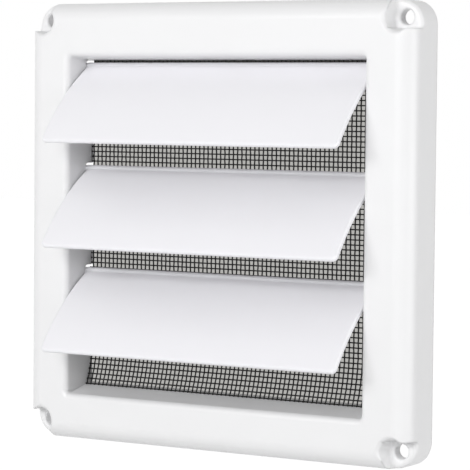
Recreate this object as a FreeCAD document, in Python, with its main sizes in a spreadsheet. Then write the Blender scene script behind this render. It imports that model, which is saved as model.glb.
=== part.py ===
import FreeCAD, Part
import math
import os
import re
import Sketcher

# Louvred cap for a dryer vent: a hollow square frame that is screwed to a wall, three bowed
# flaps on pins, and a woven screen. Origin at the middle of the wall face, front towards -Y, +Z up.

SIZES = [
    ("frame_side", 165.1, "outer side of the square frame"),
    ("frame_depth", 19.0, "frame from the wall to its front"),
    ("frame_corner", 9.0, "corner radius of the outline"),
    ("bullnose", 7.2, "radius of the front outer edge"),
    ("wall", 2.0, "wall of the hollow frame"),
    ("rail_width", 18.85, "frame from its edge to the opening"),
    ("opening_drop", 1.1, "opening's middle below the frame's middle"),
    ("opening_corner", 1.2, "corner radius of the opening"),
    ("lip_radius", 2.4, "rolled front edge of the opening"),
    ("sill_rise", 3.0, "drain slope of the opening's floor, up to the screen"),
    ("head_fall", 1.35, "slope of the opening's ceiling, down to the screen"),
    ("screw_inset", 6.35, "screw holes from the frame's edges"),
    ("screw_hole", 5.4, "screw hole diameter"),
    ("rim_chamfer", 0.6, "broken rim of the screw hole"),
    ("seat_diameter", 10.4, "recess for the screw head, at the front"),
    ("seat_floor", 8.6, "recess for the screw head, at its floor"),
    ("seat_depth", 7.8, "recess below the front"),
    ("seat_rim", 0.9, "broken front edge of the recess"),
    ("seat_mouth", 4.0, "screw's axis to the walls of the recess's open corner"),
    ("seat_plate", 4.2, "thickness under the screw head"),
    ("rib_width", 1.6, "stiffening rib behind the rails"),
    ("rib_setback", 1.5, "rib edge below the wall face"),
    ("rib_pitch", 62.0, "distance between the ribs of the head and sill"),
    ("flap_count", 3, "number of flaps"),
    ("head_gap", 3.7, "opening's top to the first pivot"),
    ("sill_gap", 4.1, "closed bottom flap to the opening's floor"),
    ("flap_overlap", 2.6, "flap below the next pivot"),
    ("flap_bow_radius", 90.0, "radius of the bowed flap"),
    ("flap_thickness", 2.0, "flap wall"),
    ("flap_side_gap", 0.5, "flap end to the side wall"),
    ("flap_corner", 1.8, "radius of the flap's lower corners"),
    ("flap_chamfer", 0.6, "broken flap edges"),
    ("flap_angle", 47.0, "flap opened from upright"),
    ("bead_diameter", 3.2, "bead along the flap's top"),
    ("pin_diameter", 3.0, "pivot pin"),
    ("pin_clearance", 0.06, "running clearance round the pin"),
    ("pin_end_length", 0.2, "pin past the side wall"),
    ("pivot_lift", 0.9, "slot above the pin"),
    ("pivot_depth", 5.4, "pivot in front of the wall face"),
    ("ledge_width", 1.0, "ledge that the screen rests on"),
    ("ledge_depth", 2.9, "ledge in front of the wall face"),
    ("screen_clearance", 0.1, "screen edge to its rebate"),
    ("screen_gap_count", 8, "gaps across the screen"),
    ("strand_width", 2.0, "screen strand"),
    ("strand_thickness", 0.5, "screen strand"),
    ("strand_lap", 0.1, "crossing strands pressed together"),
]

DERIVED = [
    ("frame_half", "frame_side / 2"),
    ("screw_half", "frame_half - screw_inset"),
    ("opening_half", "frame_half - rail_width"),
    ("opening_side", "2 * opening_half"),
    ("opening_top", "opening_half - opening_drop"),
    ("opening_floor", "-opening_half - opening_drop"),
    ("seat_radius", "seat_diameter / 2"),
    ("seat_flare", "(seat_diameter - seat_floor) / 2 / seat_depth"),
    ("boss_radius", "seat_radius + wall"),
    ("tube_half", "opening_half + wall"),
    ("hinge_top", "opening_top - head_gap"),
    ("hinge_pitch", "(opening_side - head_gap - sill_gap - flap_overlap) / flap_count"),
    ("flap_chord", "hinge_pitch + flap_overlap"),
    ("flap_width", "opening_side - 2 * flap_side_gap"),
    ("flap_centre", "sqrt(flap_bow_radius * flap_bow_radius - flap_chord * flap_chord / 4)"),
    ("flap_across", "flap_thickness / 2 * flap_centre / flap_bow_radius"),
    ("flap_along", "flap_thickness / 4 * flap_chord / flap_bow_radius"),
    ("rebate_half", "opening_half + ledge_width"),
    ("screen_half", "rebate_half - screen_clearance"),
    ("strand_pitch", "(2 * screen_half - strand_width) / screen_gap_count"),
]

doc = FreeCAD.newDocument("dryer_vent_cap")
sheet = doc.addObject("Spreadsheet::Sheet", "sizes")
NAMES = [row[0] for row in SIZES] + [row[0] for row in DERIVED]


def fill_sheet():
    for row, (name, number, note) in enumerate(SIZES, start=1):
        sheet.set("A%d" % row, note)
        sheet.set("B%d" % row, str(number))
        sheet.setAlias("B%d" % row, name)
    doc.recompute()
    for row, (name, formula) in enumerate(DERIVED, start=len(SIZES) + 1):
        sheet.set("A%d" % row, "derived")
        sheet.set("B%d" % row, "=" + formula)
        sheet.setAlias("B%d" % row, name)
        doc.recompute()


def sized(formula):
    """The formula with each name read from the sheet."""
    def read(word):
        return "sizes." + word.group() if word.group() in NAMES else word.group()

    return re.sub(r"[a-z_]+", read, formula)


def value(formula):
    """The formula's number in millimetres or degrees."""
    return float(sheet.evalExpression(formula))


def new_body(label):
    body = doc.addObject("PartDesign::Body", label)
    body.Label = label
    return body


def new_sketch(body, name, role, offset=None):
    """A sketch on one of the body's own origin planes, moved along its normal by offset."""
    sketch = body.newObject("Sketcher::SketchObject", name)
    plane = next(item for item in body.Origin.OriginFeatures if item.Role == role)
    sketch.AttachmentSupport = [(plane, "")]
    sketch.MapMode = "FlatFace"
    if offset:
        sketch.setExpression("AttachmentOffset.Base.z", sized(offset))
    doc.recompute()
    return sketch


def tie(sketch, constraint, formula):
    """Add a dimension and let the sheet drive it."""
    index = sketch.addConstraint(constraint)
    sketch.setExpression("Constraints[%d]" % index, sized(formula))


def arc_between(start, end, radius, turns_left):
    """The shorter arc from start to end, and whether it runs the same way as the loop."""
    chord = end - start
    reach = math.sqrt(max(radius * radius - chord.Length * chord.Length / 4, 0.0))
    side = FreeCAD.Vector(-chord.y, chord.x, 0).normalize()
    centre = (start + end) * 0.5 + side * (reach if turns_left else -reach)
    first, last = (start, end) if turns_left else (end, start)
    angles = [math.atan2(point.y - centre.y, point.x - centre.x) for point in (first, last)]
    if angles[1] < angles[0]:
        angles[1] += 2 * math.pi
    circle = Part.Circle(centre, FreeCAD.Vector(0, 0, 1), radius)
    return Part.ArcOfCircle(circle, angles[0], angles[1])


def draw_loop(sketch, corners, curves=None, centre_heights=None):
    """A closed loop through corners given as formulas. curves maps the number of a side to
    its radius formula and whether it turns left; the other sides are straight. A half circle
    is held by the height of its centre, because its ends already set its radius."""
    curves = curves or {}
    centre_heights = centre_heights or {}
    points = [FreeCAD.Vector(value(x), value(y), 0) for x, y in corners]
    ends = []
    for side, start in enumerate(points):
        end = points[(side + 1) % len(points)]
        if side in curves:
            radius, turns_left = curves[side]
            geometry = sketch.addGeometry(arc_between(start, end, value(radius), turns_left), False)
            ends.append((geometry, 1, 2) if turns_left else (geometry, 2, 1))
        else:
            geometry = sketch.addGeometry(Part.LineSegment(start, end), False)
            ends.append((geometry, 1, 2))
    for side, (geometry, first, last) in enumerate(ends):
        following = ends[(side + 1) % len(ends)]
        sketch.addConstraint(Sketcher.Constraint("Coincident", geometry, last, following[0], following[1]))
    for side, (geometry, first, last) in enumerate(ends):
        x, y = corners[side]
        tie(sketch, Sketcher.Constraint("DistanceX", -1, 1, geometry, first, points[side].x), x)
        tie(sketch, Sketcher.Constraint("DistanceY", -1, 1, geometry, first, points[side].y), y)
        if side in centre_heights:
            height = centre_heights[side]
            tie(sketch, Sketcher.Constraint("DistanceY", -1, 1, geometry, 3, value(height)), height)
        elif side in curves:
            radius = curves[side][0]
            tie(sketch, Sketcher.Constraint("Radius", geometry, value(radius)), radius)


def draw_rectangle(sketch, left, right, low, high):
    draw_loop(sketch, [(left, low), (right, low), (right, high), (left, high)])


def draw_rounded(sketch, left, right, low, high, radius):
    """A rectangle whose corners have the given radius."""
    inner_left, inner_right = left + " + " + radius, right + " - " + radius
    inner_low, inner_high = low + " + " + radius, high + " - " + radius
    corners = [
        (inner_left, low), (inner_right, low), (right, inner_low), (right, inner_high),
        (inner_right, high), (inner_left, high), (left, inner_high), (left, inner_low),
    ]
    draw_loop(sketch, corners, {side: (radius, True) for side in (1, 3, 5, 7)})


def draw_circle(sketch, x, y, radius):
    centre = FreeCAD.Vector(value(x), value(y), 0)
    circle = Part.Circle(centre, FreeCAD.Vector(0, 0, 1), value(radius))
    geometry = sketch.addGeometry(circle, False)
    tie(sketch, Sketcher.Constraint("DistanceX", -1, 1, geometry, 3, centre.x), x)
    tie(sketch, Sketcher.Constraint("DistanceY", -1, 1, geometry, 3, centre.y), y)
    tie(sketch, Sketcher.Constraint("Radius", geometry, value(radius)), radius)


def draw_at_screws(sketch, radius):
    for x in ("-screw_half", "screw_half"):
        for y in ("-screw_half", "screw_half"):
            draw_circle(sketch, x, y, radius)


def draw_open_corners(sketch):
    """A square at each corner of the frame, from near the screw to past both edges."""
    near, far = "(screw_half - seat_mouth)", "(frame_half + wall)"
    for right in (True, False):
        for up in (True, False):
            left_right = (near, far) if right else ("-" + far, "-" + near)
            low_high = (near, far) if up else ("-" + far, "-" + near)
            draw_rectangle(sketch, *left_right, *low_high)


def cut_cones(body, name, depth, height, back_radius, front_radius):
    """A cone at each screw, from the given depth below the front towards the front."""
    for number, (x, z) in enumerate([("-", "-"), ("", "-"), ("-", ""), ("", "")], start=1):
        cone = body.newObject("PartDesign::SubtractiveCone", "%s_%d" % (name, number))
        cone.setExpression("Radius1", sized(back_radius))
        cone.setExpression("Radius2", sized(front_radius))
        cone.setExpression("Height", sized(height))
        place = "vector(%sscrew_half; %s - frame_depth; %sscrew_half)" % (x, depth, z)
        cone.setExpression("Placement", sized("placement(%s; rotation(vector(1; 0; 0); 90))" % place))
        doc.recompute()


def pad(body, sketch, length, symmetric=False):
    feature = body.newObject("PartDesign::Pad", sketch.Name + "_pad")
    feature.Profile = sketch
    feature.setExpression("Length", sized(length))
    if symmetric:
        feature.SideType = "Symmetric"
    doc.recompute()
    return feature


def pocket(body, sketch, length, from_back=False, symmetric=False):
    """A cut that must take material away. From the wall face it runs towards the front."""
    before = body.Shape.Volume
    feature = body.newObject("PartDesign::Pocket", sketch.Name + "_pocket")
    feature.Profile = sketch
    feature.setExpression("Length", sized(length))
    feature.Reversed = from_back
    if symmetric:
        feature.SideType = "Symmetric"
    doc.recompute()
    if body.Shape.Volume > before - 1.0:
        raise RuntimeError(sketch.Name + " cuts nothing")
    return feature


def pattern(body, feature, sketch, axis, pitch, count, backwards=False):
    """Repeat a feature along one axis of its sketch."""
    repeat = body.newObject("PartDesign::LinearPattern", feature.Name + "_row")
    repeat.Originals = [feature]
    repeat.Direction = (sketch, [axis])
    repeat.Reversed = backwards
    repeat.setExpression("Length", sized("%s * (%s - 1)" % (pitch, count)))
    repeat.setExpression("Occurrences", sized(count))
    body.Tip = repeat
    doc.recompute()
    return repeat


def edge_names(shape, wanted):
    names = ["Edge%d" % number for number, edge in enumerate(shape.Edges, start=1) if wanted(edge)]
    if not names:
        raise RuntimeError("no edge to round")
    return names


def fillet(body, radius, wanted):
    base = body.Tip
    feature = body.newObject("PartDesign::Fillet", base.Name + "_round")
    feature.Base = (base, edge_names(base.Shape, wanted))
    feature.setExpression("Radius", sized(radius))
    doc.recompute()
    return feature


def chamfer(body, size, wanted):
    base = body.Tip
    feature = body.newObject("PartDesign::Chamfer", base.Name + "_break")
    feature.Base = (base, edge_names(base.Shape, wanted))
    feature.setExpression("Size", sized(size))
    doc.recompute()
    return feature


def lies_at(edge, y):
    """Whether the whole edge lies in the plane at y."""
    box = edge.BoundBox
    return abs(box.YMin - y) < 1e-4 and abs(box.YMax - y) < 1e-4


def draw_cavity(sketch, inset):
    """The hollow between the rim and the tube of the opening, kept clear of the screw bosses."""
    edge = "(frame_half - %s)" % inset
    span = "sqrt(boss_radius * boss_radius - (%s - screw_half) * (%s - screw_half))" % (edge, edge)
    meet = "(screw_half - %s)" % span
    minus_edge, minus_meet = "-" + edge, "-" + meet
    corners = [
        (minus_meet, minus_edge), (meet, minus_edge), (edge, minus_meet), (edge, meet),
        (meet, edge), (minus_meet, edge), (minus_edge, meet), (minus_edge, minus_meet),
    ]
    draw_loop(sketch, corners, {side: ("boss_radius", False) for side in (1, 3, 5, 7)})
    draw_tube(sketch)


def draw_tube(sketch):
    low, high = "-tube_half - opening_drop", "tube_half - opening_drop"
    draw_rectangle(sketch, "-tube_half", "tube_half", low, high)


def draw_ribs(sketch, outside):
    """Two ribs behind the head and the sill, and one below each pivot behind the side rails."""
    inside = "(tube_half - wall / 2)"
    for sign in ("-", ""):
        left = sign + "rib_pitch / 2 - rib_width / 2"
        right = sign + "rib_pitch / 2 + rib_width / 2"
        draw_rectangle(sketch, left, right, inside + " - opening_drop", outside)
        draw_rectangle(sketch, left, right, "-" + outside, "-" + inside + " - opening_drop")
    for number in range(int(value("flap_count"))):
        middle = "hinge_top - hinge_pitch * %s" % (number + 0.5)
        low, high = middle + " - rib_width / 2", middle + " + rib_width / 2"
        draw_rectangle(sketch, inside, outside, low, high)
        draw_rectangle(sketch, "-" + outside, "-" + inside, low, high)


def make_frame():
    body = new_body("frame")
    outline = new_sketch(body, "outline", "XZ_Plane")
    draw_rounded(outline, "-frame_half", "frame_half", "-frame_half", "frame_half", "frame_corner")
    pad(body, outline, "frame_depth")
    front = -value("frame_depth")
    fillet(body, "bullnose", lambda edge: lies_at(edge, front))

    opening = new_sketch(body, "opening", "XZ_Plane")
    draw_rounded(opening, "-opening_half", "opening_half", "opening_floor", "opening_top", "opening_corner")
    pocket(body, opening, "frame_depth", from_back=True)
    limit = value("opening_half + opening_drop") + 0.1

    def on_lip(edge):
        box = edge.BoundBox
        reach = max(abs(box.XMin), abs(box.XMax), abs(box.ZMin), abs(box.ZMax))
        return lies_at(edge, front) and reach < limit

    fillet(body, "lip_radius", on_lip)

    # The back is open: behind the screw seats the hollow reaches the corners, in front of them
    # it goes round the bosses, and under the rounded front edge it steps in to keep the wall.
    behind_seats = new_sketch(body, "behind_seats", "XZ_Plane")
    inner, radius = "(frame_half - wall)", "(frame_corner - wall)"
    draw_rounded(behind_seats, "-" + inner, inner, "-" + inner, inner, radius)
    draw_tube(behind_seats)
    pocket(body, behind_seats, "frame_depth - seat_depth - seat_plate", from_back=True)
    hollow = new_sketch(body, "hollow", "XZ_Plane")
    draw_cavity(hollow, "wall")
    pocket(body, hollow, "frame_depth - bullnose", from_back=True)
    under_front = new_sketch(body, "under_front", "XZ_Plane")
    draw_cavity(under_front, "bullnose")
    pocket(body, under_front, "frame_depth - wall", from_back=True)

    mouth = "seat_radius + seat_flare * wall"
    cut_cones(body, "seat_cone", "seat_depth", "seat_depth + wall", "seat_floor / 2", mouth)
    inside, outside = "seat_radius - seat_rim", "seat_radius + 2 * seat_rim"
    cut_cones(body, "seat_rim_cone", "2 * seat_rim", "3 * seat_rim", inside, outside)
    open_corners = new_sketch(body, "open_corners", "XZ_Plane", "frame_depth")
    draw_open_corners(open_corners)
    pocket(body, open_corners, "seat_depth")
    holes = new_sketch(body, "screw_holes", "XZ_Plane")
    draw_at_screws(holes, "screw_hole / 2")
    pocket(body, holes, "frame_depth", from_back=True)
    seat = value("seat_depth - frame_depth")
    bore = value("screw_hole / 2")

    def on_rim(edge):
        if not lies_at(edge, seat) or edge.Curve.TypeId != "Part::GeomCircle":
            return False
        return abs(edge.Curve.Radius - bore) < 1e-4

    chamfer(body, "rim_chamfer", on_rim)

    ribs = new_sketch(body, "ribs", "XZ_Plane", "rib_setback")
    draw_ribs(ribs, "(frame_half - wall / 2)")
    pad(body, ribs, "frame_depth - bullnose - rib_setback")
    rib_ends = new_sketch(body, "rib_ends", "XZ_Plane", "frame_depth - bullnose")
    draw_ribs(rib_ends, "(frame_half - bullnose)")
    pad(body, rib_ends, "bullnose - wall")

    sill = new_sketch(body, "sill", "YZ_Plane")
    nose, heel = "-frame_depth + lip_radius", "-ledge_depth"
    draw_loop(sill, [(nose, "opening_floor"), (heel, "opening_floor"), (heel, "opening_floor + sill_rise")])
    pad(body, sill, "opening_side", symmetric=True)
    head = new_sketch(body, "head", "YZ_Plane")
    draw_loop(head, [(nose, "opening_top"), (heel, "opening_top - head_fall"), (heel, "opening_top")])
    pad(body, head, "opening_side", symmetric=True)

    rebate = new_sketch(body, "screen_rebate", "XZ_Plane")
    low, high = "-rebate_half - opening_drop", "rebate_half - opening_drop"
    draw_rectangle(rebate, "-rebate_half", "rebate_half", low, high)
    pocket(body, rebate, "ledge_depth", from_back=True)

    # Each pin goes in from behind and drops into the round foot of its slot.
    slot = new_sketch(body, "pivot_slot", "YZ_Plane")
    radius = "(pin_diameter / 2 + pin_clearance)"
    ahead, behind, high = "-pivot_depth - " + radius, "wall", "hinge_top + pivot_lift"
    foot = "-pivot_depth + sqrt(%s * %s - (%s - pivot_lift) * (%s - pivot_lift))" % ((radius,) * 4)
    corners = [
        (ahead, "hinge_top"), (ahead, high), ("-pivot_depth", high + " + " + radius),
        (behind, high + " + " + radius), (behind, high + " - " + radius), (foot, high + " - " + radius),
    ]
    draw_loop(slot, corners, {1: (radius, False), 5: (radius, False)})
    cut = pocket(body, slot, "opening_side + 2 * wall + 2 * pin_end_length", symmetric=True)
    pattern(body, cut, slot, "V_Axis", "hinge_pitch", "flap_count", backwards=True)
    return body


def make_flap(label, number):
    """One flap, drawn shut with its pivot at the origin, then hung in its place and opened."""
    body = new_body(label)
    profile = new_sketch(body, label + "_profile", "YZ_Plane")
    corners = [
        ("flap_across", "-flap_along"), ("-flap_across", "flap_along"),
        ("-flap_across", "-flap_chord - flap_along"), ("flap_across", "-flap_chord + flap_along"),
    ]
    draw_loop(profile, corners, {1: ("flap_bow_radius + flap_thickness / 2", True),
                                 3: ("flap_bow_radius - flap_thickness / 2", False)})
    pad(body, profile, "flap_width", symmetric=True)
    end = value("flap_width / 2")
    low = -value("flap_chord") + value("flap_thickness")

    def on_lower_corner(edge):
        box = edge.BoundBox
        return box.XMax - box.XMin < 1e-4 and box.ZMax < low

    fillet(body, "flap_corner", on_lower_corner)
    top = -value("bead_diameter")

    def on_rim(edge):
        box = edge.BoundBox
        at_end = box.XMax - box.XMin < 1e-4 and abs(abs(box.XMax) - end) < 1e-4
        return box.ZMin < top and (at_end or box.ZMax < low + value("flap_corner"))

    chamfer(body, "flap_chamfer", on_rim)
    bead = new_sketch(body, label + "_bead", "YZ_Plane")
    draw_circle(bead, "0", "0", "bead_diameter / 2")
    pad(body, bead, "flap_width", symmetric=True)
    pins = new_sketch(body, label + "_pins", "YZ_Plane")
    draw_circle(pins, "0", "0", "pin_diameter / 2")
    pad(body, pins, "opening_side + 2 * wall + 2 * pin_end_length", symmetric=True)
    hinge = "vector(0; -pivot_depth; hinge_top - hinge_pitch * %d)"
    place = "placement(" + hinge + "; rotation(vector(1; 0; 0); -flap_angle))"
    body.setExpression("Placement", sized(place % number))
    return body


def make_screen():
    """Upright strands against the ledge, with level strands pressed onto their backs."""
    body = new_body("screen")
    upright = new_sketch(body, "upright", "XZ_Plane", "ledge_depth - strand_thickness")
    low, high = "-screen_half - opening_drop", "screen_half - opening_drop"
    draw_rectangle(upright, "-screen_half", "-screen_half + strand_width", low, high)
    first = pad(body, upright, "strand_thickness")
    pattern(body, first, upright, "H_Axis", "strand_pitch", "screen_gap_count + 1")
    level = new_sketch(body, "level", "XZ_Plane", "ledge_depth - 2 * strand_thickness + strand_lap")
    draw_rectangle(level, "-screen_half", "screen_half", low, low + " + strand_width")
    second = pad(body, level, "strand_thickness")
    pattern(body, second, level, "V_Axis", "strand_pitch", "screen_gap_count + 1")
    return body


def check(parts):
    for item in doc.Objects:
        if "Invalid" in item.State or "Error" in item.State:
            raise RuntimeError("%s failed: %s" % (item.Name, item.State))
    for part in parts:
        shape = part.Shape
        if shape.isNull() or not shape.isValid() or len(shape.Solids) != 1:
            raise RuntimeError(part.Label + " is not one valid solid")


fill_sheet()
parts = [make_frame()]
for number, label in enumerate(("flap_top", "flap_middle", "flap_bottom")):
    parts.append(make_flap(label, number))
parts.append(make_screen())
doc.recompute()
check(parts)
os.makedirs("parts", exist_ok=True)
for part in parts:
    part.Shape.exportStep("parts/%s.step" % part.Label)
    print(part.Label, round(part.Shape.Volume, 1), part.Shape.BoundBox)
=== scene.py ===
import math

import bmesh
import bpy
from bpy.props import FloatProperty, FloatVectorProperty, IntProperty, PointerProperty
from mathutils import Matrix, Vector


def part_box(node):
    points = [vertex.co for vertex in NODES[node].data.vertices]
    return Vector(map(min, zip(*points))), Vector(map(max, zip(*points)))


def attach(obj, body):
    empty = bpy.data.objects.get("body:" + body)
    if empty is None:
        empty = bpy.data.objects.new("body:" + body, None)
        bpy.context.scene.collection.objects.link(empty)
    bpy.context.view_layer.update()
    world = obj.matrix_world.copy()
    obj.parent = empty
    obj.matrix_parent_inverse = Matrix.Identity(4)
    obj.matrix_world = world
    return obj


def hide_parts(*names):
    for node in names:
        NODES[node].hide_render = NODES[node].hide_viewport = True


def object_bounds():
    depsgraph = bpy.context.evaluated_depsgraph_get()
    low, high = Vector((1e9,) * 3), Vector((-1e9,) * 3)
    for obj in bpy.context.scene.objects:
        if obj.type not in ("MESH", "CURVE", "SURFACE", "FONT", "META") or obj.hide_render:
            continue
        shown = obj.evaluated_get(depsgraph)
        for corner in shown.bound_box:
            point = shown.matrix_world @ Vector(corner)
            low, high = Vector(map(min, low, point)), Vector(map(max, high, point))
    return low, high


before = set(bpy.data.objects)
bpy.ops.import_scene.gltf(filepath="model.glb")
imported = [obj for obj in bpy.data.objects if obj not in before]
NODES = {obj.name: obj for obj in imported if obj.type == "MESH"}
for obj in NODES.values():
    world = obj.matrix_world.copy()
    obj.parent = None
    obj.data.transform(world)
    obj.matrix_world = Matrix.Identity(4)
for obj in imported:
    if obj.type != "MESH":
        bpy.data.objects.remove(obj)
CAD_BOX = [list(corner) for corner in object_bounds()]
FLAPS = ("flap_top", "flap_middle", "flap_bottom")

# The screw recesses of the CAD frame, in metres: a screw's distance from the middle both ways, the
# level of the recess floors, and a reach round the screw that takes in the rim of its hole.
SCREW = 0.0762
SEAT_LEVEL = -0.0112
HOLE_RIM = 0.0036

# What counts as one point, a sliver or one level, in metres, and as flat or as a sharp edge.
SAME_POINT = 1e-6
SLIVER = 5e-6
SAME_LEVEL = 1e-5
FLAT = math.radians(0.3)
RECESS_CORNER = math.radians(25)
CREASE = math.radians(30)

# Room between the woven screen and the CAD screen's box, in metres: at the edges, over the sill, and
# at the sides of the curled part.
EDGE_ROOM = 0.0001
SILL_ROOM = 0.0032
CURL_ROOM = 0.0011

# The stage: places and sizes in metres, the camera's yaw, pitch and roll in degrees, lenses in millimetres.
WHITE = (1.0, 1.0, 1.0)
FLOOR_COLOR = (0.85, 0.85, 0.85)
FLOOR_GLOW = 1.35
FLOOR_GLOW_SHARE = 0.7
FLOOR_SIZE = 6.0
CARD_GAP = 0.0015
# The next two set the card's painted shade: the height over which its top fades, and how dark that painted
# top band is against the card's painted grey.
CARD_FADE = 0.004
CARD_PAINTED_DARK = 0.1
FRONT_PLACE, FRONT_SIZE = (-0.1, -1.5, 0.5), (1.2, 0.45)
SIDE_PLACE, SIDE_SIZE = (1.5, 0.05, 0.2), (1.0, 1.0)
CAMERA_PLACE = (0.47281, -0.75717, 0.04607)
CAMERA_TURN = (32.0102, 3.1584, 0.5478)
CAMERA_LENS = 184.765
CAMERA_SENSOR = 36.0
CAMERA_REACH = 50.0

bl_info = {
    "name": "Dryer vent cap",
    "version": (1, 0, 0),
    "blender": (4, 5, 0),
    "location": "View3D > Sidebar > Vent cap",
    "description": "Finishes a louvred dryer vent cap: white moulded plastic, bowed flaps and a woven screen",
    "category": "Object",
}


class PlasticSettings(bpy.types.PropertyGroup):
    # Partly painted light: besides its cooler tint, the flaps' white is set lighter than the frame's to make
    # up for the shade the flaps cast on one another.
    frame_color: FloatVectorProperty(
        name="Frame colour", description="White of the moulded frame", subtype="COLOR", size=3,
        min=0.0, max=1.0, default=(0.86, 0.86, 0.866))
    flap_lit_color: FloatVectorProperty(
        name="Flap colour", description="Slightly cooler white of the flaps", subtype="COLOR", size=3,
        min=0.0, max=1.0, default=(0.915, 0.91, 0.94))
    shine: FloatProperty(
        name="Roughness", description="Roughness of the satin plastic", subtype="FACTOR",
        min=0.0, max=1.0, default=0.32)
    grain: FloatProperty(
        name="Mould grain", description="Width of the faint dimples that the mould leaves", unit="LENGTH",
        min=0.0001, max=0.01, default=0.0009)
    seat_edge: FloatProperty(
        name="Recess edge", description="Rounding where a screw recess runs out to the side", unit="LENGTH",
        min=0.0, max=0.0018, default=0.0017)
    seat_fillet: FloatProperty(
        name="Recess fillet", description="Rounding at the foot of a screw recess's walls", unit="LENGTH",
        min=0.0, max=0.0008, default=0.00065)
    edge: FloatProperty(
        name="Soft edge", description="How far the shade rounds each moulded edge", unit="LENGTH",
        min=0.0, max=0.005, default=0.0012)


class ScreenSettings(bpy.types.PropertyGroup):
    pitch: FloatProperty(
        name="Pitch", description="Distance from strand to strand", unit="LENGTH",
        min=0.001, max=0.01, default=0.00185)
    strand: FloatProperty(
        name="Strand", description="Diameter of one strand", unit="LENGTH",
        min=0.0001, max=0.001, default=0.00054)
    wave: FloatProperty(
        name="Wave", description="How far a strand swings to pass over and under", unit="LENGTH",
        min=0.0, max=0.001, default=0.00013)
    curl: FloatProperty(
        name="Curl", description="How far the lower edge comes forward onto the sill", unit="LENGTH",
        min=0.0, max=0.01, default=0.004)
    curl_height: FloatProperty(
        name="Curl height", description="Height over which the lower edge comes forward", unit="LENGTH",
        min=0.001, max=0.05, default=0.0185)
    sides: IntProperty(
        name="Sides", description="Sides of a strand's section", min=4, max=8, default=6)
    color: FloatVectorProperty(
        name="Strand colour", description="Black of the coated strands", subtype="COLOR", size=3,
        min=0.0, max=1.0, default=(0.006, 0.006, 0.0065))


class StageSettings(bpy.types.PropertyGroup):
    ambient: FloatProperty(
        name="Room light", description="Strength of the even light from all round",
        min=0.0, max=4.0, default=0.31)
    key_power: FloatProperty(
        name="Front light", description="Power of the large soft light in front", unit="POWER",
        min=0.0, max=500.0, default=15.7)
    side_power: FloatProperty(
        name="Side light", description="Power of the soft light on the right side", unit="POWER",
        min=0.0, max=500.0, default=8.4)
    floor_drop: FloatProperty(
        name="Floor", description="Floor below the cap's lower edge", unit="LENGTH",
        min=0.0, max=2.0, default=0.22)
    # Painted shade: the card's grey stands in for the shaded space behind the screen, and above card_shade
    # the card is painted darker still.
    card_painted_grey: FloatVectorProperty(
        name="Card colour", description="Grey card that is seen through the screen", subtype="COLOR", size=3,
        min=0.0, max=1.0, default=(0.46, 0.455, 0.44))
    card_shade: FloatProperty(
        name="Card shade", description="Height on the card above which it is in the dark", unit="LENGTH",
        min=0.0, max=0.1, default=0.0565)


class Socket:
    """A shader value that takes part in Python sums; each sum adds one Math node."""

    def __init__(self, graph, socket):
        self.graph = graph
        self.socket = socket

    def _math(self, operation, first, second):
        return self.graph.node("ShaderNodeMath", {"operation": operation}, {0: first, 1: second})

    def __add__(self, other):
        return self._math("ADD", self, other)

    def __mul__(self, other):
        return self._math("MULTIPLY", self, other)

    def __radd__(self, other):
        return self._math("ADD", other, self)

    def __rmul__(self, other):
        return self._math("MULTIPLY", other, self)


class Graph:
    """The nodes of one material or of the world."""

    def __init__(self, tree):
        self.tree = tree
        tree.nodes.clear()

    def node(self, kind, settings=None, inputs=None, output=0):
        """Add a node, set it up, feed its sockets and return one output."""
        node = self.tree.nodes.new(kind)
        for name, setting in (settings or {}).items():
            setattr(node, name, setting)
        for key, value in (inputs or {}).items():
            socket = node.inputs[key]
            if isinstance(value, Socket):
                self.tree.links.new(value.socket, socket)
            elif isinstance(value, (tuple, list)) and socket.type == "RGBA":
                socket.default_value = (*value[:3], 1.0)
            else:
                socket.default_value = value
        if not node.outputs:
            return None
        return Socket(self, node.outputs[output])

    def place(self):
        """Object coordinates, in metres."""
        return self.node("ShaderNodeTexCoord", output="Object")

    def noise(self, width, detail=2.0, roughness=0.5):
        """Soft noise from 0 to 1 whose blotches are about width across."""
        return self.node("ShaderNodeTexNoise", None, {
            "Vector": self.place(), "Scale": 1.0 / width, "Detail": detail, "Roughness": roughness})

    def blend(self, factor, first, second):
        """A colour between two colours."""
        return self.node("ShaderNodeMix", {"data_type": "RGBA"}, {0: factor, 6: first, 7: second}, output=2)


def new_material(name):
    """A new material and the empty graph of its nodes."""
    material = bpy.data.materials.new(name)
    material.use_nodes = True
    return material, Graph(material.node_tree)


def tinted(color, factor):
    """A colour made lighter or darker by a factor."""
    return tuple(min(channel * factor, 1.0) for channel in color)


def moulded_plastic(name, color, settings):
    """Satin white plastic: faint flow clouds, a slightly uneven shine and the mould's fine dimples."""
    material, graph = new_material(name)
    clouds = graph.noise(width=0.055, detail=3.0)
    specks = graph.noise(width=0.0006, detail=1.0)
    shine = graph.noise(width=0.02, detail=3.0, roughness=0.6)
    dimples = graph.noise(width=settings.grain, detail=2.0, roughness=0.55)
    waves = graph.noise(width=0.012, detail=1.0)
    color_map = graph.blend(clouds * 0.8 + specks * 0.2, tinted(color, 0.985), tinted(color, 1.015))
    edges = graph.node("ShaderNodeBevel", {"samples": 8}, {"Radius": settings.edge})
    bump = graph.node("ShaderNodeBump", None, {
        "Strength": 0.12, "Distance": 0.00012, "Height": dimples * 0.35 + waves * 0.65, "Normal": edges})
    surface = graph.node("ShaderNodeBsdfPrincipled", None, {
        "Base Color": color_map, "Roughness": settings.shine - 0.05 + shine * 0.1,
        "IOR": 1.49, "Normal": bump})
    graph.node("ShaderNodeOutputMaterial", None, {"Surface": surface})
    return material


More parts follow.
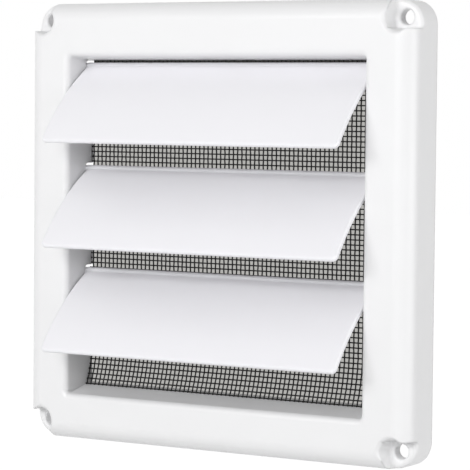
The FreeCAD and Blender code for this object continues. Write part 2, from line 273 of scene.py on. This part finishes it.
def coated_yarn(name, color):
    """Black coated strands: a dull sheen that varies along each strand, with fine fibre marks."""
    material, graph = new_material(name)
    dust = graph.noise(width=0.004, detail=3.0, roughness=0.6)
    fibre = graph.noise(width=0.00025, detail=2.0)
    color_map = graph.blend(dust, tinted(color, 0.7), tinted(color, 1.6))
    bump = graph.node("ShaderNodeBump", None, {"Strength": 0.3, "Distance": 0.00003, "Height": fibre})
    surface = graph.node("ShaderNodeBsdfPrincipled", None, {
        "Base Color": color_map, "Roughness": 0.5 + dust * 0.25, "IOR": 1.45, "Normal": bump})
    graph.node("ShaderNodeOutputMaterial", None, {"Surface": surface})
    return material


def dress(node, material):
    """Put one material on a CAD node."""
    slots = node.material_slots
    if not slots:
        node.data.materials.append(material)
    for slot in slots:
        slot.link = "OBJECT"
        slot.material = material


def mesh_object(name, mesh_builder, material):
    """Put a finished bmesh into the scene as an object with one material."""
    mesh = bpy.data.meshes.new(name)
    mesh_builder.to_mesh(mesh)
    mesh_builder.free()
    mesh.materials.append(material)
    piece = bpy.data.objects.new(name, mesh)
    bpy.context.scene.collection.objects.link(piece)
    return piece


def strand_mesh(knots, diameter, sides):
    """One closed strand through knots, which run along one axis with a small swing to each side."""
    along = (knots[-1] - knots[0]).normalized()
    turn = Vector((0, 0, 1)).rotation_difference(along).to_matrix().to_4x4()
    yarn = bmesh.new()
    ring = bmesh.ops.create_circle(yarn, cap_ends=True, segments=sides, radius=diameter / 2,
                                   matrix=Matrix.Translation(knots[0]) @ turn)
    tip = ring["verts"][0].link_faces[0]
    passed = []
    for before, after in zip(knots, knots[1:]):
        grown = bmesh.ops.extrude_face_region(yarn, geom=[tip])["geom"]
        passed.append(tip)
        verts = [item for item in grown if isinstance(item, bmesh.types.BMVert)]
        tip = next(item for item in grown if isinstance(item, bmesh.types.BMFace))
        bmesh.ops.translate(yarn, verts=verts, vec=after - before)
    # Each step leaves the face that it grew from inside the strand; only the first one is an end.
    bmesh.ops.delete(yarn, geom=passed[1:], context="FACES_ONLY")
    bmesh.ops.recalc_face_normals(yarn, faces=yarn.faces)
    for face in yarn.faces:
        face.smooth = len(face.verts) == 4
    mesh = bpy.data.meshes.new("strand")
    yarn.to_mesh(mesh)
    yarn.free()
    return mesh


def lay(cloth, strand, offset):
    """Add a copy of a strand to the cloth, moved by offset."""
    copy = strand.copy()
    copy.transform(Matrix.Translation(offset))
    cloth.from_mesh(copy)
    bpy.data.meshes.remove(copy)


def seat_edges(shell, outer):
    """The sharp edges round the floors of the screw recesses: those on the frame's outline, or
    those at the foot of the recess walls."""
    screw = Vector((SCREW, SCREW))
    found = []
    for edge in shell.edges:
        level = all(abs(vertex.co.y - SEAT_LEVEL) < SAME_LEVEL for vertex in edge.verts)
        if not level or edge.is_convex != outer or edge.calc_face_angle(0.0) < RECESS_CORNER:
            continue
        places = [Vector((abs(vertex.co.x), abs(vertex.co.z))) for vertex in edge.verts]
        if all((place - screw).length > HOLE_RIM for place in places):
            found.append(edge)
    if not found:
        raise RuntimeError("the frame has no screw recess to round")
    return found


def round_over(shell, edges, radius):
    """Round edges of the shell off to a radius."""
    bmesh.ops.bevel(shell, geom=edges, offset=radius, offset_type="OFFSET", affect="EDGES", segments=5,
                    profile=0.5, clamp_overlap=False, material=-1, loop_slide=True)


class VENTCAP_OT_frame(bpy.types.Operator):
    """Finish the hollow frame in satin white moulded plastic, with soft screw recesses"""
    bl_idname = "ventcap.frame"
    bl_label = "Frame"

    def execute(self, context):
        plastic = context.scene.ventcap_plastic
        shell = bmesh.new()
        shell.from_mesh(NODES["frame"].data)
        bmesh.ops.remove_doubles(shell, verts=shell.verts, dist=SAME_POINT)
        bmesh.ops.dissolve_limit(shell, angle_limit=FLAT, verts=shell.verts, edges=shell.edges)
        round_over(shell, seat_edges(shell, True), plastic.seat_edge)
        round_over(shell, seat_edges(shell, False), plastic.seat_fillet)
        bmesh.ops.dissolve_degenerate(shell, dist=SLIVER, edges=shell.edges)
        for face in shell.faces:
            face.smooth = True
        for edge in shell.edges:
            edge.smooth = edge.calc_face_angle(0.0) < CREASE
        material = moulded_plastic("frame_plastic", tuple(plastic.frame_color), plastic)
        piece = mesh_object("moulded_frame", shell, material)
        even = piece.modifiers.new("even_shade", "WEIGHTED_NORMAL")
        even.keep_sharp = True
        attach(piece, "cap")
        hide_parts("frame")
        return {"FINISHED"}


class VENTCAP_OT_flaps(bpy.types.Operator):
    """Finish the three flaps in a slightly cooler white plastic, set lighter than the frame's as painted
    light
    """
    bl_idname = "ventcap.flaps"
    bl_label = "Flaps"

    def execute(self, context):
        plastic = context.scene.ventcap_plastic
        material = moulded_plastic("flap_plastic", tuple(plastic.flap_lit_color), plastic)
        for name in FLAPS:
            dress(NODES[name], material)
        return {"FINISHED"}


class VENTCAP_OT_screen(bpy.types.Operator):
    """Weave the screen behind the flaps, with its lower edge curled onto the sill"""
    bl_idname = "ventcap.screen"
    bl_label = "Woven screen"

    def execute(self, context):
        settings = context.scene.ventcap_screen
        low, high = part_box("screen")
        middle = (Vector(low) + Vector(high)) / 2
        pitch = settings.pitch
        half = (high[0] - low[0]) / 2 - EDGE_ROOM
        lower_edge = low[2] + SILL_ROOM
        curl_start = lower_edge + settings.curl_height
        inside = half - CURL_ROOM
        count = int(half / pitch)
        steps = range(-count, count + 1)
        columns = [step * pitch for step in steps]
        levels = [middle.z + step * pitch for step in steps]
        rows = [z for z in levels if z > lower_edge + EDGE_ROOM]

        def swing(crossing):
            """How far a strand moves aside at a crossing: back and forth by turns."""
            return settings.wave * (-1) ** crossing

        def upright(odd):
            """A strand from the sill to the top ledge that passes over and under the rows."""
            knots = [Vector((0, swing(row + odd), z)) for row, z in enumerate(rows)]
            bottom, top = Vector((0, 0, lower_edge)), Vector((0, 0, high[2] - EDGE_ROOM))
            return strand_mesh([bottom, *knots, top], settings.strand, settings.sides)

        def level(odd, reach):
            """A strand from side to side that passes the other way."""
            knots = [Vector((x, -swing(column + odd), 0)) for column, x in enumerate(columns)]
            left, right = Vector((-reach, 0, 0)), Vector((reach, 0, 0))
            return strand_mesh([left, *knots, right], settings.strand, settings.sides)

        cloth = bmesh.new()
        uprights = [upright(odd) for odd in (0, 1)]
        for number, x in enumerate(columns):
            lay(cloth, uprights[number % 2], (x, middle.y, 0))
        wide, narrow = ([level(odd, reach) for odd in (0, 1)] for reach in (half, inside))
        for number, z in enumerate(rows):
            strands = wide if z > curl_start else narrow
            lay(cloth, strands[number % 2], (0, middle.y, z))
        for mesh in (*uprights, *wide, *narrow):
            bpy.data.meshes.remove(mesh)
        for vertex in cloth.verts:
            fall = max(curl_start - vertex.co.z, 0.0) / settings.curl_height
            vertex.co.y -= settings.curl * fall * fall
        material = coated_yarn("screen_yarn", tuple(settings.color))
        screen = mesh_object("woven_screen", cloth, material)
        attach(screen, "cap")
        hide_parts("screen")
        return {"FINISHED"}


def lit_white(graph, plain, white):
    """White where it is seen for the floor and the world, the card's glowing painted shade for the card;
    plain where it only gives light or takes shadow.
    """
    path = "ShaderNodeLightPath"
    seen = graph.node(path, output="Is Camera Ray") + graph.node(path, output="Is Glossy Ray")
    seen = seen + graph.node(path, output="Is Transmission Ray")
    return graph.node("ShaderNodeMixShader", None, {0: seen, 1: plain, 2: white})


def make_floor(stage):
    """A wide pale floor under the cap that stays white but keeps a soft shadow."""
    material, graph = new_material("floor_white")
    paper = graph.node("ShaderNodeBsdfDiffuse", None, {"Color": FLOOR_COLOR})
    glow = graph.node("ShaderNodeEmission", None, {"Color": WHITE, "Strength": FLOOR_GLOW})
    faint = graph.node("ShaderNodeMixShader", None, {0: FLOOR_GLOW_SHARE, 1: paper, 2: glow})
    graph.node("ShaderNodeOutputMaterial", None, {"Surface": lit_white(graph, paper, faint)})
    sheet = bmesh.new()
    place = Matrix.Translation((0, 0, CAD_BOX[0][2] - stage.floor_drop))
    bmesh.ops.create_grid(sheet, x_segments=1, y_segments=1, size=FLOOR_SIZE, matrix=place)
    mesh_object("floor", sheet, material)


def make_card(stage):
    """A grey card close behind the screen: its grey is painted shade that glows for the camera, and
    its top is painted darker where no light comes in. It has a face only towards the front, so from
    behind the cap stays open."""
    material, graph = new_material("card_painted_shade")
    behind = graph.node("ShaderNodeNewGeometry", output="Backfacing")
    height = graph.node("ShaderNodeSeparateXYZ", None, {"Vector": graph.place()}, output="Z")
    # Painted shade: this mask is lit below the card_shade height and dark above it, where the card's top is
    # painted darker.
    painted_light_mask = graph.node("ShaderNodeMapRange", None, {
        "Value": height, "From Min": stage.card_shade, "From Max": stage.card_shade - CARD_FADE})
    color = tuple(stage.card_painted_grey)
    grey = graph.blend(painted_light_mask, tinted(color, CARD_PAINTED_DARK), color)
    paper = graph.node("ShaderNodeBsdfDiffuse", None, {"Color": grey})
    # The painted grey glows for the camera, though the card is no lamp.
    seen = graph.node("ShaderNodeEmission", None, {"Color": grey, "Strength": 1.0})
    nothing = graph.node("ShaderNodeBsdfTransparent")
    surface = graph.node("ShaderNodeMixShader", None, {
        0: behind, 1: lit_white(graph, paper, seen), 2: nothing})
    graph.node("ShaderNodeOutputMaterial", None, {"Surface": surface})
    low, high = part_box("screen")
    middle = (Vector(low) + Vector(high)) / 2
    upright = Matrix.Rotation(math.radians(90), 4, "X")
    place = Matrix.Translation((0, high[1] + CARD_GAP, middle.z)) @ upright
    sheet = bmesh.new()
    bmesh.ops.create_grid(sheet, x_segments=1, y_segments=1, size=(high[0] - low[0]) / 2, matrix=place)
    mesh_object("card", sheet, material)


def make_room(stage):
    """Even light from all round, with a white background."""
    world = bpy.data.worlds.new("white_room")
    world.use_nodes = True
    bpy.context.scene.world = world
    graph = Graph(world.node_tree)
    plain = graph.node("ShaderNodeBackground", None, {"Color": WHITE, "Strength": stage.ambient})
    white = graph.node("ShaderNodeBackground", None, {"Color": WHITE, "Strength": 1.0})
    graph.node("ShaderNodeOutputWorld", None, {"Surface": lit_white(graph, plain, white)})


def make_lamp(name, place, size, power):
    """A soft rectangular light that points at the origin."""
    light = bpy.data.lights.new(name, "AREA")
    light.shape = "RECTANGLE"
    light.size, light.size_y = size
    light.energy = power
    lamp = bpy.data.objects.new(name, light)
    aim = (-Vector(place)).to_track_quat("-Z", "Y")
    lamp.matrix_world = Matrix.Translation(place) @ aim.to_matrix().to_4x4()
    bpy.context.scene.collection.objects.link(lamp)


def make_camera():
    """A long lens to the right of the cap and a little above its middle."""
    yaw, pitch, roll = (math.radians(angle) for angle in CAMERA_TURN)
    ahead = math.cos(pitch)
    forward = Vector((-math.sin(yaw) * ahead, math.cos(yaw) * ahead, -math.sin(pitch)))
    level = Vector((math.cos(yaw), math.sin(yaw), 0.0))
    upright = level.cross(forward)
    right = level * math.cos(roll) + upright * math.sin(roll)
    above = upright * math.cos(roll) - level * math.sin(roll)
    turn = Matrix((right, above, -forward)).transposed().to_4x4()
    lens = bpy.data.cameras.new("photo_camera")
    lens.lens = CAMERA_LENS
    lens.sensor_width = CAMERA_SENSOR
    lens.clip_end = CAMERA_REACH
    camera = bpy.data.objects.new("photo_camera", lens)
    camera.matrix_world = Matrix.Translation(CAMERA_PLACE) @ turn
    bpy.context.scene.collection.objects.link(camera)
    bpy.context.scene.camera = camera


class VENTCAP_OT_stage(bpy.types.Operator):
    """Set up the white room, the card of painted shade behind the screen, the soft lights and the camera"""
    bl_idname = "ventcap.stage"
    bl_label = "Stage"

    def execute(self, context):
        stage = context.scene.ventcap_stage
        make_floor(stage)
        make_card(stage)
        make_room(stage)
        make_lamp("front_light", FRONT_PLACE, FRONT_SIZE, stage.key_power)
        make_lamp("side_light", SIDE_PLACE, SIDE_SIZE, stage.side_power)
        make_camera()
        context.scene.view_settings.view_transform = "Standard"
        return {"FINISHED"}


class VENTCAP_PT_panel(bpy.types.Panel):
    """Settings of the vent cap, and a button for each piece"""
    bl_idname = "VENTCAP_PT_panel"
    bl_label = "Vent cap"
    bl_space_type = "VIEW_3D"
    bl_region_type = "UI"
    bl_category = "Vent cap"

    def draw(self, context):
        for group_name in GROUPS:
            group = getattr(context.scene, group_name)
            box = self.layout.box()
            for name in group.__annotations__:
                box.prop(group, name)
        for operator in OPERATORS:
            self.layout.operator(operator.bl_idname)


GROUPS = {
    "ventcap_plastic": PlasticSettings,
    "ventcap_screen": ScreenSettings,
    "ventcap_stage": StageSettings,
}
OPERATORS = (VENTCAP_OT_frame, VENTCAP_OT_flaps, VENTCAP_OT_screen, VENTCAP_OT_stage)


def register():
    for item in (*GROUPS.values(), *OPERATORS, VENTCAP_PT_panel):
        bpy.utils.register_class(item)
    for name, group in GROUPS.items():
        setattr(bpy.types.Scene, name, PointerProperty(type=group))


def unregister():
    for name in GROUPS:
        delattr(bpy.types.Scene, name)
    for item in (VENTCAP_PT_panel, *reversed(OPERATORS), *reversed(GROUPS.values())):
        bpy.utils.unregister_class(item)


def main():
    register()
    bpy.ops.ventcap.frame()
    bpy.ops.ventcap.flaps()
    bpy.ops.ventcap.screen()
    bpy.ops.ventcap.stage()


if __name__ == "__main__":
    main()
